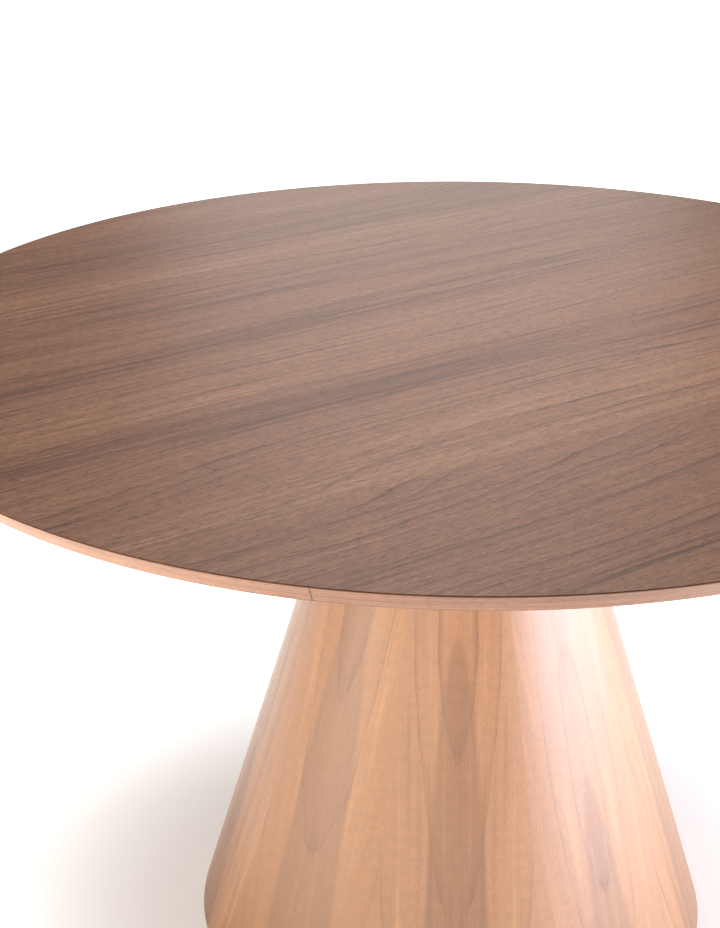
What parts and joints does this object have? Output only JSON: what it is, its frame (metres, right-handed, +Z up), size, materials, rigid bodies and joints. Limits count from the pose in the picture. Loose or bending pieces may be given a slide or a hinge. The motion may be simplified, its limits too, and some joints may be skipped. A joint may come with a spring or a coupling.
{
  "type": "tilt top table",
  "caption": "Round veneered table top on a hollow cone pedestal; the top tilts on pivots in a head block and locks with a slide bolt.",
  "frame": {"origin": "on the floor under the centre of the pedestal and the top", "axes": "+Z up, -Y is the front, which the top's face turns towards as it tilts, X along the tilt axis"},
  "size_m": [1.1998, 1.2, 0.75],
  "materials": {
    "top_walnut": "satin lacquered walnut veneer",
    "edge_walnut": "satin lacquered walnut edge band",
    "pedestal_walnut": "satin lacquered walnut veneer, upright grain",
    "back_walnut": "matt walnut backing veneer",
    "solid_walnut": "oiled solid walnut",
    "fibreboard": "raw medium density fibreboard",
    "birch_ply": "raw birch plywood",
    "beech": "planed beech",
    "black_steel": "black painted steel plate",
    "zinc_steel": "bright zinc plated steel",
    "brass": "satin brass",
    "black_rubber": "matt black rubber",
    "black_nylon": "moulded black nylon"
  },
  "bodies": {
    "pedestal": {"pedestal_veneer": "pedestal_walnut", "pedestal_shell": "birch_ply", "foot_disc": "birch_ply", "ballast_plate": "black_steel", "ballast_screws": "zinc_steel", "centre_post": "beech", "mid_rib": "birch_ply", "head_disc": "birch_ply", "tie_rod": "zinc_steel", "tie_rod_washers": "zinc_steel", "tie_rod_nuts": "zinc_steel", "tilt_block": "solid_walnut", "block_screws": "zinc_steel", "pivot_bolts": "zinc_steel", "pivot_inserts": "brass", "rest_pads": "black_rubber", "keeper_plate": "brass", "keeper_screws": "brass", "glide_inserts": "brass"},
    "top": {"top_core": "fibreboard", "top_veneer": "top_walnut", "back_veneer": "back_walnut", "edge_band": "edge_walnut", "bearer_left": "solid_walnut", "bearer_right": "solid_walnut", "bearer_screws": "zinc_steel", "pivot_bushes": "brass", "pivot_washers": "black_nylon", "stop_rail": "solid_walnut", "stop_rail_screws": "zinc_steel", "stop_pad": "black_rubber", "catch_packer": "solid_walnut", "catch_plate": "brass", "catch_bridges": "brass", "catch_screws": "brass", "friction_leaf": "brass"},
    "catch": {"catch_bolt": "brass", "catch_knob": "brass"},
    "glide_1": {"glide_1_stem": "zinc_steel", "glide_1_pad": "black_nylon"},
    "glide_2": {"glide_2_stem": "zinc_steel", "glide_2_pad": "black_nylon"},
    "glide_3": {"glide_3_stem": "zinc_steel", "glide_3_pad": "black_nylon"},
    "glide_4": {"glide_4_stem": "zinc_steel", "glide_4_pad": "black_nylon"}
  },
  "joints": [
    {"name": "top_tilt", "type": "hinge", "parent": "pedestal", "child": "top", "pos_m": [0, -0.07, 0.708], "axis": [1, 0, 0], "range_deg": [0, 70]},
    {"name": "catch_slide", "type": "slide", "parent": "top", "child": "catch", "axis": [0, -1, 0], "range_m": [0, 0.016]},
    {"name": "glide_1_screw", "type": "slide", "parent": "pedestal", "child": "glide_1", "axis": [0, 0, -1], "range_m": [0, 0.012]},
    {"name": "glide_2_screw", "type": "slide", "parent": "pedestal", "child": "glide_2", "axis": [0, 0, -1], "range_m": [0, 0.012]},
    {"name": "glide_3_screw", "type": "slide", "parent": "pedestal", "child": "glide_3", "axis": [0, 0, -1], "range_m": [0, 0.012]},
    {"name": "glide_4_screw", "type": "slide", "parent": "pedestal", "child": "glide_4", "axis": [0, 0, -1], "range_m": [0, 0.012]}
  ]
}
